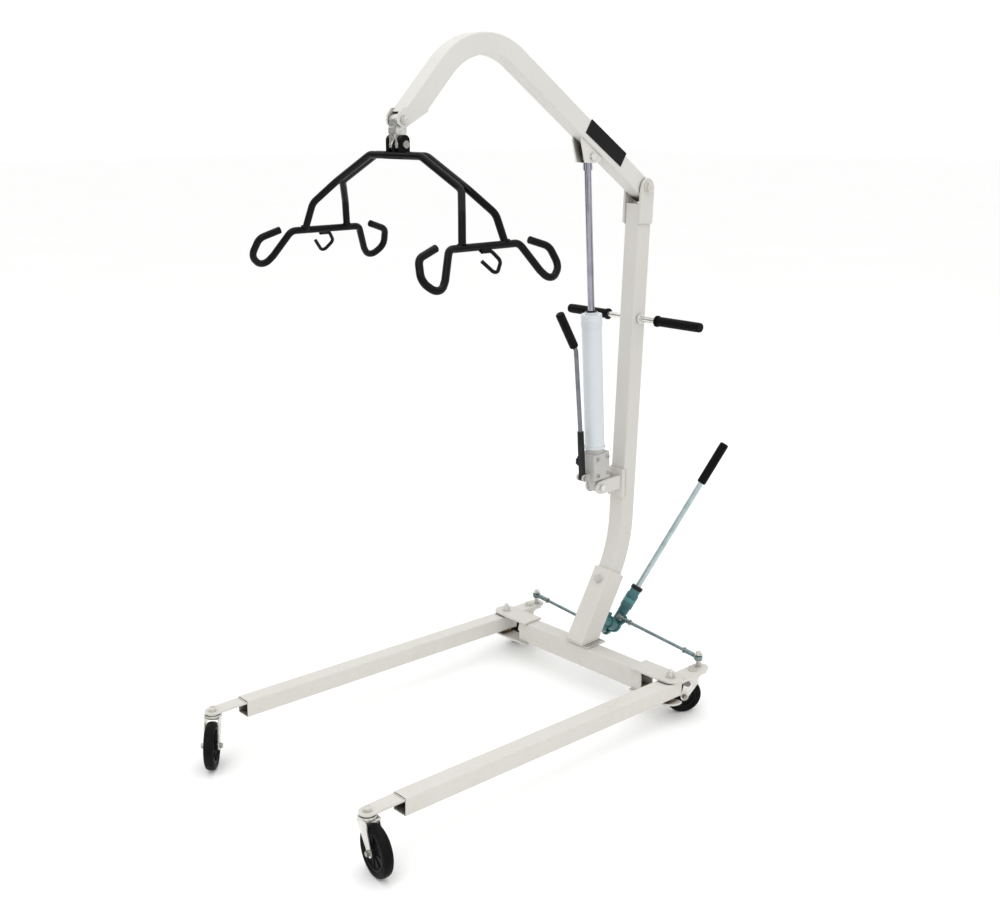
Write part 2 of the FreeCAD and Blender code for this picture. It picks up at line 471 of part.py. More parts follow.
mast_bolts += [fuse(cyl(V(-31.2, PIVOT.y, PIVOT.z), X, 8.0, 74), hexa(V(-41.2, PIVOT.y, PIVOT.z), X, 24, 8.4), cyl(V(-33.2, PIVOT.y, PIVOT.z), X, 15, 2.1)),
    fuse(tube(V(31.1, PIVOT.y, PIVOT.z), V(33.4, PIVOT.y, PIVOT.z), 15, 8.1), hexa(V(33.4, PIVOT.y, PIVOT.z), X, 24, 9, 8.1))]
# blank plate on the +X side of the boom
c1 = V(22.55, -40, 1557); c2 = V(22.55, 94, 1469)
pd_ = (c2 - c1).normalize(); pn = V(0, -pd_.z, pd_.y)
pw = 20.0
plt = Part.Face(Part.makePolygon([c1 + pn * pw, c2 + pn * pw, c2 - pn * pw, c1 - pn * pw, c1 + pn * pw])).extrude(V(1.2, 0, 0))
put("nameplate", plt)
put("pump_upper_bolt_ends", fuse(hexa(V(18.1, PU.y, PU.z), X, 17, 7)), fuse(hexa(V(-25.1, PU.y, PU.z), X, 17, 7)))

# ---- pump ---------------------------------------------------------------------
ad = (PU - PL).normalize()              # pump axis
def along(s, off=0.0):
    return PL + ad * s + V(0, -ad.z, ad.y) * off
body = frame(along(28), along(100), 58, 62)
try:
    body = body.makeFillet(7.0, [e for e in body.Edges if abs((e.Vertexes[0].Point - e.Vertexes[-1].Point).Length - 72) < 0.1])
except Exception:
    pass
foot = fuse(cyl(V(-13, PL.y, PL.z), X, 15, 26), frame(along(0), along(34), 26, 34))
hl = fuse(box(-12.5, 12.5, HP.y, 20, HP.z - 9, HP.z + 9), cyl(V(-12.5, HP.y, HP.z), X, 10, 25))
hl = hl.cut(box(-6.5, 6.5, HP.y - 30, HP.y + 14, HP.z - 20, HP.z + 20))
neck = cyl(along(98), ad, 25.5, 14)
pump_body = fuse(body, foot, neck, hl)
pump_body = pump_body.cut(cyl(V(-30, PL.y, PL.z), X, 5.1, 60)).cut(cyl(V(-30, HP.y, HP.z), X, 4.05, 60))
pump_body = pump_body.cut(cyl(along(112), ad * -1, 16.0, 30))
PG = along(42, 20.0)
pump_body = pump_body.cut(cyl(PG - ad * 0.5, ad, 7.55, 34))
KN = along(62) - X * 29
pump_body = pump_body.cut(cyl(KN - X * 0.5, X, 5.05, 18))
put("pump_body", pump_body)
cyl_t = tube(along(112.1), along(452), CYL_R, CYL_R - 3.5)
put("pump_cylinder", cyl_t)
cap = fuse(tube(along(452.1), along(486), CYL_R + 1.5, ROD_R + 0.08), tube(along(486), along(492), 17.0, ROD_R + 0.08))
cap = cap.fuse(tube(along(440), along(452.1), CYL_R - 3.6, ROD_R + 0.08)).removeSplitter()
put("cylinder_cap", cap)
D0 = (PU - PL).Length
rod = cyl(along(439.5), ad, ROD_R, D0 - 439.5 - 14)
eye = fuse(cyl(V(-9.5, PU.y, PU.z), X, 12.5, 19), cyl(along(D0 - 34), ad, 12.0, 24))
rod = fuse(rod, eye).cut(cyl(V(-30, PU.y, PU.z), X, 5.1, 60))
put("piston_rod", rod)
put("upper_pump_pin", cyl(V(-11.5, PU.y, PU.z), X, 5.05, 23))
put("piston", fuse(cyl(along(419.5), ad, CYL_R - 3.58, 8), cyl(along(427.5), ad, CYL_R - 7.0, 5), cyl(along(432.5), ad, CYL_R - 3.58, 7)))
put("pump_plunger", fuse(cyl(PG + ad * 8, ad, 7.5, 24)))
mast_bolts += [fuse(cyl(V(-22.2, PL.y, PL.z), X, 5.0, 52), hexa(V(-30.2, PL.y, PL.z), X, 16, 8)), fuse(hexa(V(22.1, PL.y, PL.z), X, 16, 7.5, 5.1))]
# socket bolt, boom pivot bolt and lower pump bolt with their nuts
put("mast_bolts", *mast_bolts)
kn = fuse(cyl(KN - X * 16, X, 5.0, 31), cyl(KN - X * 32, X, 15.0, 18))
cuts = [cyl(KN - X * 33 + V(0, 16.5 * cos(radians(k)), 16.5 * sin(radians(k))), X, 3.2, 20) for k in range(0, 360, 45)]
for c_ in cuts:
    kn = kn.cut(c_)
put("release_knob", kn)
# pump handle
lk0 = HP; lk1 = V(0, -25, 724)
hd = (lk1 - lk0).normalize()
lk = frame(lk0 - hd * 0, lk1 + hd * 6, 12, 14)
lk = fuse(lk, cyl(V(-6, HP.y, HP.z), X, 9.5, 12), cyl(lk1 - hd * 6, hd, 9.0, 34))
g0 = V(0, -50, 978); g1 = V(0, -112, 1080)
tip_g = g1 + (g1 - g0).normalize() * -12
hr = sweep_round([lk1 + hd * 0.5, g0, tip_g], 6.0, [24.0])
put("pump_handle_rod", hr)
rdir = (g0 - (lk1 + hd * 0.5)).normalize()
lk = lk.cut(cyl(V(-30, HP.y, HP.z), X, 4.05, 60)).cut(cyl(lk1 + hd * 0.5 - rdir * 0.5, rdir, 6.03, 60))
put("pump_handle_socket", lk)
gd = (g1 - g0).normalize()
gg = cyl(g0 + gd * 12, gd, 12.0, (g1 - g0).Length - 8)
try:
    gg = gg.makeFillet(5.0, [e for e in gg.Edges if len(e.Vertexes) == 1])
except Exception:
    pass
put("pump_handle_grip", gg.cut(hr).cut(cyl(g0 + gd * 10, gd, 6.0, 94)))
put("pump_handle_pin", fuse(cyl(V(-15, HP.y, HP.z), X, 4.0, 30), cyl(V(-16.5, HP.y, HP.z), X, 6.5, 3.8), cyl(V(12.7, HP.y, HP.z), X, 6.5, 3.6)))

# ---- boom tip, swivel and cradle -----------------------------------------------
put("tip_bolt", fuse(cyl(V(-22.6, TIP.y, TIP.z), X, 5.1, 56), hexa(V(-30.6, TIP.y, TIP.z), X, 17, 8)), fuse(hexa(V(22.6, TIP.y, TIP.z), X, 17, 8, 5.15)))
yk = fuse(cyl(V(-14, TIP.y, TIP.z), X, 13, 28), box(-14, 14, TIP.y - 13, TIP.y + 13, TIP.z - 15, TIP.z))
yk = yk.fuse(cyl(V(0, TIP.y, TIP.z - 15), Z * -1, 7.0, 21)).fuse(cyl(V(0, TIP.y, TIP.z - 30.6), Z * -1, 10.5, 5.4)).removeSplitter()
yk = yk.cut(cyl(V(-30, TIP.y, TIP.z), X, 5.2, 60))
put("swivel_yoke", yk)
zt_ = TIP.z - 16.0
fk_ = box(-14.0, 14.0, TIP.y - 15, TIP.y + 15, zt_ - 13.5, zt_)
pr = box(8.0, 14.0, TIP.y - 13, TIP.y + 13, HUBZ - 8, zt_ - 4).fuse(cyl(V(8.0, TIP.y, HUBZ), X, 13, 6)).removeSplitter()
fk_ = fuse(fk_, pr, mirror(pr)).cut(cyl(V(0, TIP.y, zt_ - 30), Z, 7.08, 60))
fk_ = fk_.cut(cyl(V(-40, TIP.y, HUBZ), X, 5.2, 80)).cut(cyl(V(0, TIP.y, 1537.5), Z, 10.9, 7.0))
put("swivel_fork", fk_)
put("hub_pin", fuse(cyl(V(-29, CRY, HUBZ), X, 5.1, 58), cyl(V(-31.5, CRY, HUBZ), X, 8.5, 4.0), cyl(V(27.6, CRY, HUBZ), X, 8.5, 4.0)))
wsh = []
for x0 in (14.15, 5.15):
    for sg in (1, -1):
        a = x0 if sg > 0 else -x0 - 2.6
        wsh.append(tube(V(a, CRY, HUBZ), V(a + 2.6, CRY, HUBZ), 11.5, 5.3))
put("nylon_washers", *wsh)
def P(x, y, z): return V(x, CRY + y, z)
parts = []
ear_o = box(17.0, 27.0, CRY - 13, CRY + 13, 1496, HUBZ + 10).fuse(cyl(V(17.0, CRY, HUBZ + 8), X, 13, 10)).removeSplitter()
ear_c = box(-5.0, 5.0, CRY - 13, CRY + 13, 1496, HUBZ).fuse(cyl(V(-5.0, CRY, HUBZ), X, 11.5, 10)).removeSplitter()
hubpad = box(-34, 34, CRY - 14.5, CRY + 14.5, 1489, 1505)
cr = fuse(hubpad, ear_o, mirror(ear_o), ear_c)
Ya = ROD + 0.1
for sy in (1, -1):
    half = [P(0, sy * Ya, 1497), P(92, sy * Ya, 1497), P(226, sy * Ya, 1432), P(272, sy * 48, 1380), P(288, sy * 62, BAR_Z)]
    for sx in (1, -1):
        pts = [V(p.x * sx, p.y, p.z) for p in half]
        cr = cr.fuse(sweep_round(pts, ROD, [40.0, 40.0, 40.0]))
# welds between the paired rods
for sx in (1, -1):
    cr = cr.fuse(box(min(sx * 10, sx * 88), max(sx * 10, sx * 88), CRY - 3.5, CRY + 3.5, 1493.0, 1501.0))
    cr = cr.fuse(cyl2(V(sx * 90, CRY, 1496.5), V(sx * 222, CRY, 1434.0), 4.0))
tl = radians(26.0)
def bar_pt(sx, y, t):
    return V(sx * (BAR_X + t * sin(tl)), CRY + y, BAR_Z - t * cos(tl))
loop = [(0, 0), (100, 0), (136, 66), (160, 95), (198, 62), (187, 14), (134, -5)]
for sx in (1, -1):
    for sy in (1, -1):
        pts = [bar_pt(sx, sy * a, b) for a, b in loop]
        cr = cr.fuse(sweep_round(pts, ROD, [20.0, 40.0, 24.0, 30.0, 24.0]))
    hk = [bar_pt(sx, -14, 12), bar_pt(sx, 14, 12), bar_pt(sx, 32, 36), bar_pt(sx, 8, 66), bar_pt(sx, -22, 32)]
    cr = cr.fuse(sweep_round(hk, 4.2, [11.0, 11.0, 12.0]))
    pp = cyl2(bar_pt(sx, -16, 7), bar_pt(sx, 6, 7), 5.5)
    cr = cr.fuse(pp)
cr = cr.removeSplitter()
cr = cr.cut(cyl(V(-40, CRY, HUBZ), X, 5.2, 80))
put("cradle", cr)

for sx_, nm, yw in ((1, "rear_right", YAW_RR), (-1, "rear_left", YAW_RL)):
    p = pedal()
    p.Placement = Placement(V(STEM_R.x * sx_, STEM_R.y, 0), Rotation(Z, yw))
    put(nm + "_brake_pedal", p)

# the parts are written about the middle of the hoist's plan, at floor level
PLAN_X, PLAN_Y = 20.3225, -315.015
for n_, s_ in OUT.items():
    s_.translate(V(-PLAN_X, -PLAN_Y, 0))
    s_.exportStep("parts/%s.step" % n_)
bb = FreeCAD.BoundBox()
for n_, s_ in OUT.items():
    bb.add(s_.BoundBox)
    sol = s_.Solids
    print("%-24s solids %2d  valid %s  vol %9.0f" % (n_, len(sol), s_.isValid(), sum(q.Volume for q in sol)))
print(len(OUT), "nodes", bb)
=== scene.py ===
import bpy, json
import random
from math import sin, cos, tan, radians, pi, sqrt, atan2, ceil
from mathutils import Vector, Matrix, Quaternion


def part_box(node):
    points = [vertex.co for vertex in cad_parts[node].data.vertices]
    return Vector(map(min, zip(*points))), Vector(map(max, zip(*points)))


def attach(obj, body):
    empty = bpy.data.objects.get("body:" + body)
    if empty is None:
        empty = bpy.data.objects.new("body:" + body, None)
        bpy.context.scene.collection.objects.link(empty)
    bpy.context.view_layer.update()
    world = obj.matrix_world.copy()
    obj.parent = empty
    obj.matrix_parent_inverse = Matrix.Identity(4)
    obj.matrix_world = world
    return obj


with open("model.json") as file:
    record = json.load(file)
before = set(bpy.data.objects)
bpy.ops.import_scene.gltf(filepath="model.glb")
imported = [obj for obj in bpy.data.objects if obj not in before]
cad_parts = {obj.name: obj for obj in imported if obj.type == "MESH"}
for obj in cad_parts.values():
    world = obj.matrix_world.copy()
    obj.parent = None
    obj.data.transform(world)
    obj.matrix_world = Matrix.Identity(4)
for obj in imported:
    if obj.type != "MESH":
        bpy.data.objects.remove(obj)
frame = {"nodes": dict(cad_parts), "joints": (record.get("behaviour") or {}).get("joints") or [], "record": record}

random.seed(7)
REC, NODES = frame["record"], frame["nodes"]
JN = {j["name"]: j for j in frame["joints"]}
BODY = {n: b for b, ns in REC["behaviour"]["bodies"].items() for n in ns}
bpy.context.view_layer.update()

# the hoist's own dimensions are laid out from the line between its leg pivots
ORG = Vector(JN["leg_spread"]["pos_m"]) - Vector((0.322, 0, 0))


def W(x, y, z):
    return ORG + Vector((x, y, z)) * 0.001


# ------------------------------------------------------------------ materials
class Mat:
    """A principled material with short helpers for procedural nodes."""

    def __init__(s, name):
        s.m = bpy.data.materials.new(name)
        s.m.use_nodes = True
        s.t = s.m.node_tree
        s.n, s.l = s.t.nodes, s.t.links
        s.b = s.n["Principled BSDF"]
        s.co = s.n.new("ShaderNodeTexCoord").outputs["Object"]

    def put(s, sock, v):
        if hasattr(v, "is_output"):
            s.l.new(v, sock)
        else:
            if sock.type == "RGBA" and len(v) == 3:
                v = (*v, 1.0)
            sock.default_value = v

    def set(s, name, v):
        s.put(s.b.inputs[name], v)

    def scaled(s, x, y, z, rot=(0, 0, 0)):
        n = s.n.new("ShaderNodeMapping")
        n.inputs["Scale"].default_value = (x, y, z)
        n.inputs["Rotation"].default_value = rot
        s.l.new(s.co, n.inputs["Vector"])
        return n.outputs[0]

    def noise(s, scale, detail=4.0, rough=0.5, vec=None, dist=0.0, w=None):
        n = s.n.new("ShaderNodeTexNoise")
        if w is not None:
            n.noise_dimensions = "4D"
            n.inputs["W"].default_value = w
        n.inputs["Scale"].default_value = scale
        n.inputs["Detail"].default_value = detail
        n.inputs["Roughness"].default_value = rough
        n.inputs["Distortion"].default_value = dist
        s.l.new(vec or s.co, n.inputs["Vector"])
        return n.outputs["Fac"]

    def cells(s, scale, feature="F1", out="Distance", vec=None):
        n = s.n.new("ShaderNodeTexVoronoi")
        n.feature = feature
        n.inputs["Scale"].default_value = scale
        s.l.new(vec or s.co, n.inputs["Vector"])
        return n.outputs[out]

    def wave(s, scale, axis="X", dist=0.0, profile="SIN", vec=None):
        n = s.n.new("ShaderNodeTexWave")
        n.wave_type = "BANDS"
        n.bands_direction = axis
        n.wave_profile = profile
        n.inputs["Scale"].default_value = scale
        n.inputs["Distortion"].default_value = dist
        s.l.new(vec or s.co, n.inputs["Vector"])
        return n.outputs["Fac"]

    def range(s, v, a, b, c=0.0, d=1.0, smooth=False):
        n = s.n.new("ShaderNodeMapRange")
        n.clamp = True
        if smooth:
            n.interpolation_type = "SMOOTHSTEP"
        for i, x in enumerate((a, b, c, d)):
            n.inputs[i + 1].default_value = x
        s.l.new(v, n.inputs[0])
        return n.outputs[0]

    def math(s, op, a, b=None):
        n = s.n.new("ShaderNodeMath")
        n.operation = op
        s.put(n.inputs[0], a)
        if b is not None:
            s.put(n.inputs[1], b)
        return n.outputs[0]

    def mix(s, f, a, b, mode="MIX"):
        n = s.n.new("ShaderNodeMix")
        n.data_type = "RGBA"
        n.blend_type = mode
        s.put(n.inputs[0], f)
        s.put(n.inputs[6], a)
        s.put(n.inputs[7], b)
        return n.outputs[2]

    def mixf(s, f, a, b):
        n = s.n.new("ShaderNodeMix")
        n.data_type = "FLOAT"
        s.put(n.inputs[0], f)
        s.put(n.inputs[2], a)
        s.put(n.inputs[3], b)
        return n.outputs[0]

    def height(s):
        n = s.n.new("ShaderNodeSeparateXYZ")
        s.l.new(s.co, n.inputs[0])
        return n.outputs[2]

    def edge(s, radius, lo=0.999, hi=0.86):
        bv = s.n.new("ShaderNodeBevel")
        bv.samples = 4
        bv.inputs["Radius"].default_value = radius
        g = s.n.new("ShaderNodeNewGeometry")
        d = s.n.new("ShaderNodeVectorMath")
        d.operation = "DOT_PRODUCT"
        s.l.new(bv.outputs[0], d.inputs[0])
        s.l.new(g.outputs["Normal"], d.inputs[1])
        return s.range(d.outputs["Value"], lo, hi)

    def bump(s, *layers):
        """Each layer is (height, strength, distance)."""
        last = None
        for h, st, di in layers:
            n = s.n.new("ShaderNodeBump")
            n.inputs["Strength"].default_value = st
            n.inputs["Distance"].default_value = di
            s.l.new(h, n.inputs["Height"])
            if last is not None:
                s.l.new(last, n.inputs["Normal"])
            last = n.outputs[0]
        s.l.new(last, s.b.inputs["Normal"])


def coat(name, base, dark, worn, rough=(0.34, 0.5), grain=900.0, grime=0.0, wear=0.35, peel=0.10, coatw=0.0, other=None, spec=0.4, shade_recesses=False):
    """Powder coat or enamel: colour variation, orange peel, worn edges, grime near the floor and, when asked, painted
    shade in recesses and inside the tubes.
    """
    m = Mat(name)
    big = m.noise(7.0, 5.0, 0.55)
    fine = m.noise(170.0, 3.0, 0.6)
    col = m.mix(m.range(big, 0.32, 0.68), base, dark)
    col = m.mix(m.math("MULTIPLY", m.range(fine, 0.56, 0.72), 0.12), col, dark)
    if grime > 0:
        z = m.height()
        low = m.range(z, 0.20, 0.03)
        g = m.math("MULTIPLY", low, m.range(m.noise(38.0, 6.0, 0.62), 0.42, 0.70))
        col = m.mix(m.math("MULTIPLY", g, grime), col, (0.16, 0.145, 0.12))
    if other:
        col = m.mix(other[0](m), col, m.mix(m.range(big, 0.32, 0.68), other[1], other[2]))
    e = m.edge(0.0022)
    chip = m.math("MULTIPLY", e, m.range(m.noise(120.0, 6.0, 0.62, w=2.5), 0.52, 0.62))
    scuff = m.range(m.noise(26.0, 8.0, 0.7, vec=m.scaled(1.0, 1.0, 3.0)), 0.66, 0.74)
    wr = m.math("MINIMUM", m.math("ADD", m.math("MULTIPLY", chip, wear), m.math("MULTIPLY", scuff, 0.07)), 1.0)
    col = m.mix(wr, col, worn)
    if shade_recesses:
        # painted shade: an AO mask darkens crevices and tube interiors towards dark brown; inside the tubes it also
        # stands for bare, dusty steel where the coat never reached
        ao = m.n.new("ShaderNodeAmbientOcclusion")
        ao.samples = 6
        ao.inputs["Distance"].default_value = 0.045
        recess_shade = m.range(m.math("ADD", ao.outputs["AO"], m.math("MULTIPLY", m.noise(60.0, 4.0, 0.6, w=5.0), 0.10)), 0.64, 0.42, smooth=True)
        col = m.mix(recess_shade, col, m.mix(m.noise(90.0, 4.0, 0.6, w=6.0), (0.040, 0.030, 0.024), (0.090, 0.070, 0.056)))
    m.set("Base Color", col)
    m.set("Roughness", m.mixf(m.range(m.noise(60.0, 4.0, 0.6, w=1.3), 0.3, 0.7), rough[0], rough[1]))
    m.set("Specular IOR Level", spec)
    if coatw:
        m.set("Coat Weight", coatw)
        m.set("Coat Roughness", 0.12)
    m.bump((m.noise(grain, 2.0, 0.5), peel, 0.0004), (m.range(m.noise(14.0, 3.0, 0.5), 0.2, 0.8), 0.03, 0.001), (chip, 0.12, 0.0002))
    return m.m


def metal(name, base, tint, rough=(0.22, 0.42), spangle=0.0, brush=None, dark=0.5, scratches=0.4, metallic=1.0):
    """Plated or drawn steel: brushed direction, scratches, brighter edges and dull dark patches."""
    m = Mat(name)
    pat = m.noise(34.0, 6.0, 0.62)
    col = m.mix(m.range(pat, 0.35, 0.7), base, tint)
    if spangle:
        sp = m.cells(150.0, out="Color")
        bw = m.n.new("ShaderNodeRGBToBW")
        m.l.new(sp, bw.inputs[0])
        col = m.mix(m.math("MULTIPLY", bw.outputs[0], spangle), col, tint)
    e = m.edge(0.0012, 0.999, 0.8)
    bright = m.math("MULTIPLY", e, m.range(m.noise(210.0, 4.0, 0.6), 0.40, 0.62))
    col = m.mix(m.math("MULTIPLY", bright, 0.35), col, (0.92, 0.92, 0.9))
    spots = m.range(m.noise(85.0, 8.0, 0.68, w=4.0), 0.63, 0.73)
    col = m.mix(m.math("MULTIPLY", spots, dark * 0.5), col, (0.17, 0.13, 0.09))
    m.set("Base Color", col)
    m.set("Metallic", metallic)
    streak = m.noise(1.0, 3.0, 0.6, vec=m.scaled(*(brush or (420.0, 420.0, 420.0))))
    r = m.mixf(m.range(streak, 0.3, 0.7), rough[0], rough[1])
    m.set("Roughness", m.math("MINIMUM", m.math("ADD", r, m.math("MULTIPLY", spots, 0.25)), 0.9))
    m.bump((streak, scratches * 0.16, 0.00012), (m.noise(420.0, 3.0, 0.6, w=3.1), 0.05, 0.0002))
    return m.m


def rubber(name, base, dust, rough=(0.45, 0.66), pebble=620.0, depth=0.22, ribs=None, dusty=0.35):
    m = Mat(name)
    f = m.range(m.noise(26.0, 6.0, 0.65), 0.45, 0.75)
    col = m.mix(m.math("MULTIPLY", f, dusty), base, dust)
    e = m.edge(0.0016)
    col = m.mix(m.math("MULTIPLY", e, 0.22), col, dust)
    m.set("Base Color", col)
    m.set("Roughness", m.mixf(m.range(m.noise(75.0, 4.0, 0.6, w=2.0), 0.3, 0.7), rough[0], rough[1]))
    m.set("Specular IOR Level", 0.07)
    layers = [(m.cells(pebble, feature="SMOOTH_F1"), depth, 0.0004), (m.noise(40.0, 4.0, 0.6), 0.08, 0.001)]
    if ribs:
        layers.append((m.wave(ribs[0], ribs[1]), ribs[2], 0.0006))
    m.bump(*layers)
    return m.m


LEAN = radians(31.0)
AU = Vector((0, sin(LEAN), cos(LEAN)))        # along the mast socket
AN = Vector((0, cos(LEAN), -sin(LEAN)))       # square to it, pointing back
P0 = W(0, 3, 150)


def bracket_mask(m):
    """The bracket behind the socket, painted with the crank."""
    def dist(axis, at):
        n = m.n.new("ShaderNodeVectorMath")
        n.operation = "DOT_PRODUCT"
        m.l.new(m.co, n.inputs[0])
        n.inputs[1].default_value = tuple(axis)
        return m.math("SUBTRACT", n.outputs["Value"], P0.dot(axis) + at)
    a = m.range(dist(AN, 0.0316), 0.0, 0.0004)
    b = m.range(dist(AU, 0.0240), 0.0, 0.0004)
    return m.math("MULTIPLY", a, b)


# One ivory paint covers the whole frame. The legs, base and boom get lighter copies of it, painted light matched to
# how brightly each part is lit, and those copies also take painted shade in their recesses.
IVORY = coat("ivory_powder_coat", (0.565, 0.553, 0.517), (0.550, 0.536, 0.497), (0.38, 0.35, 0.30), grime=0.0, wear=0.28)
IVORY_LIGHTER_LEGS = coat("ivory_coat_painted_lighter_legs", (0.610, 0.596, 0.555), (0.594, 0.578, 0.534), (0.34, 0.31, 0.26), grime=0.09, shade_recesses=True, wear=0.42)
IVORY_LIGHTER_BASE = coat("ivory_coat_painted_lighter_base", (0.572, 0.558, 0.518), (0.556, 0.541, 0.498), (0.34, 0.31, 0.26), grime=0.09, shade_recesses=True, wear=0.42,
                  other=(bracket_mask, (0.055, 0.185, 0.195), (0.032, 0.115, 0.125)))
IVORY_LIGHTER_BOOM = coat("ivory_coat_painted_lighter_boom", (0.600, 0.592, 0.562), (0.584, 0.574, 0.541), (0.40, 0.37, 0.32), grime=0.0, shade_recesses=True, wear=0.22)
WELD = coat("painted_weld", (0.56, 0.546, 0.505), (0.50, 0.486, 0.44), (0.34, 0.31, 0.27), rough=(0.32, 0.5), grain=500.0, wear=0.5)
TEAL = coat("teal_enamel", (0.055, 0.185, 0.195), (0.032, 0.115, 0.125), (0.30, 0.32, 0.31), rough=(0.28, 0.46), wear=0.65, grain=700.0)
TEAL_LT = coat("teal_enamel_band", (0.11, 0.31, 0.32), (0.065, 0.20, 0.21), (0.33, 0.35, 0.34), rough=(0.3, 0.48), wear=0.6, grain=700.0)
BLACK = coat("black_gloss_coat", (0.0028, 0.0028, 0.0032), (0.0050, 0.0050, 0.0056), (0.07, 0.066, 0.062), rough=(0.20, 0.32), grain=650.0, wear=0.18, peel=0.07, spec=0.10)
LINK = coat("black_link_coat", (0.008, 0.008, 0.010), (0.016, 0.016, 0.018), (0.20, 0.19, 0.18), rough=(0.3, 0.45), wear=0.35, spec=0.15)
CAST = coat("grey_cast_enamel", (0.46, 0.45, 0.435), (0.36, 0.352, 0.338), (0.24, 0.23, 0.21), rough=(0.5, 0.68), grain=260.0, wear=0.55, peel=0.42)
CYL = coat("grey_cylinder_enamel", (0.585, 0.620, 0.645), (0.560, 0.595, 0.618), (0.33, 0.33, 0.33), rough=(0.26, 0.36), wear=0.04, peel=0.05)
ZINC = metal("zinc_plate", (0.80, 0.80, 0.775), (0.62, 0.605, 0.56), rough=(0.26, 0.46), spangle=0.35, dark=0.5)
FORKZ = metal("zinc_fork", (0.76, 0.75, 0.72), (0.55, 0.53, 0.48), rough=(0.24, 0.42), spangle=0.30, dark=0.6)
BOLT = metal("bolt_steel", (0.50, 0.50, 0.48), (0.30, 0.285, 0.25), rough=(0.28, 0.5), spangle=0.25, dark=0.8)
RODM = metal("drawn_rod", (0.27, 0.35, 0.365), (0.17, 0.235, 0.25), rough=(0.24, 0.42), brush=(600.0, 30.0, 600.0), dark=0.7)
DRODM = metal("dark_rod", (0.20, 0.215, 0.235), (0.13, 0.14, 0.155), rough=(0.26, 0.42), brush=(600.0, 600.0, 30.0), dark=0.6)
LEVER = metal("lever_steel", (0.46, 0.545, 0.56), (0.32, 0.395, 0.41), rough=(0.14, 0.3), brush=(600.0, 600.0, 24.0), dark=0.5)
CHROME = metal("piston_chrome", (0.40, 0.40, 0.45), (0.28, 0.28, 0.33), rough=(0.05, 0.13), brush=(700.0, 700.0, 18.0), dark=0.15, scratches=0.25)
BAR = metal("bar_steel", (0.80, 0.80, 0.78), (0.62, 0.61, 0.58), rough=(0.18, 0.34), brush=(20.0, 700.0, 700.0), dark=0.4)
BRONZE = metal("bush_bronze", (0.56, 0.37, 0.17), (0.38, 0.24, 0.11), rough=(0.28, 0.46), dark=0.6)
GRIP = rubber("black_grip", (0.0030, 0.0030, 0.0033), (0.012, 0.0117, 0.0113), rough=(0.36, 0.52), dusty=0.25, depth=0.16)
TYRE = rubber("tyre_rubber", (0.0034, 0.0034, 0.0038), (0.024, 0.022, 0.020), rough=(0.38, 0.6), pebble=480.0, depth=0.14, dusty=0.30)
HUBM = rubber("hub_plastic", (0.006, 0.006, 0.007), (0.032, 0.031, 0.029), rough=(0.28, 0.46), pebble=900.0, depth=0.08, dusty=0.35)
SEAL = rubber("wiper_seal", (0.012, 0.012, 0.013), (0.05, 0.05, 0.05), rough=(0.3, 0.45), depth=0.08)
KNOB = rubber("knob_plastic", (0.010, 0.010, 0.011), (0.05, 0.05, 0.05), rough=(0.25, 0.4), pebble=1200.0, depth=0.06)
PEDAL = rubber("pedal_plastic", (0.20, 0.20, 0.195), (0.34, 0.33, 0.31), rough=(0.4, 0.55), pebble=900.0, depth=0.12)
NYLON = rubber("white_nylon", (0.80, 0.80, 0.77), (0.62, 0.60, 0.55), rough=(0.3, 0.42), pebble=900.0, depth=0.05, dusty=0.4)
PLATE = coat("plate_black", (0.0045, 0.0045, 0.005), (0.008, 0.008, 0.009), (0.12, 0.12, 0.12), rough=(0.22, 0.32), wear=0.12, peel=0.02, spec=0.12)
ALU = metal("plate_rim", (0.62, 0.63, 0.63), (0.45, 0.45, 0.45), rough=(0.25, 0.4), dark=0.4)
GREASE = rubber("grease", (0.05, 0.035, 0.018), (0.10, 0.075, 0.04), rough=(0.18, 0.3), pebble=300.0, depth=0.3)

LOOK = {
    "cross_member": IVORY_LIGHTER_BASE, "mast_tube": IVORY, "leg_right": IVORY_LIGHTER_LEGS, "leg_left": IVORY_LIGHTER_LEGS, "boom_arm": IVORY_LIGHTER_BOOM,
    "mast_bolts": ZINC, "crank_pivot_bolt": BOLT, "push_handle_bar": BAR, "leg_pivot_bolts": ZINC, "leg_pivot_bushes": BRONZE,
    "right_caster_stems": ZINC, "left_caster_stems": ZINC, "right_tie_rod_stud": ZINC, "left_tie_rod_stud": ZINC,
    "crank": TEAL, "lever_rod": LEVER, "lever_grip": GRIP, "crank_pins": BOLT, "right_tie_rod": RODM, "left_tie_rod": RODM,
    "boom_pivot_bush": BRONZE, "nameplate": PLATE, "pump_upper_bolt_ends": ZINC, "upper_pump_pin": ZINC, "tip_bolt": ZINC,
    "pump_body": CAST, "pump_cylinder": CYL, "cylinder_cap": CYL, "pump_handle_pin": BOLT, "piston_rod": CHROME, "piston": BOLT,
    "pump_handle_socket": LINK, "pump_handle_rod": DRODM, "pump_handle_grip": GRIP, "pump_plunger": BOLT, "release_knob": KNOB,
    "push_grips": GRIP, "swivel_yoke": ZINC, "swivel_fork": ZINC, "hub_pin": BOLT, "nylon_washers": NYLON, "cradle": BLACK,
    "rear_right_brake_pedal": PEDAL, "rear_left_brake_pedal": PEDAL,
}
for t in ("front_right", "front_left", "rear_right", "rear_left"):
    LOOK[t + "_caster_fork"] = FORKZ
    LOOK[t + "_axle"] = BOLT
    LOOK[t + "_tyre"] = TYRE
    LOOK[t + "_wheel_hub"] = HUBM
for n, o in NODES.items():
    o.data.materials.clear()
    o.data.materials.append(LOOK[n])


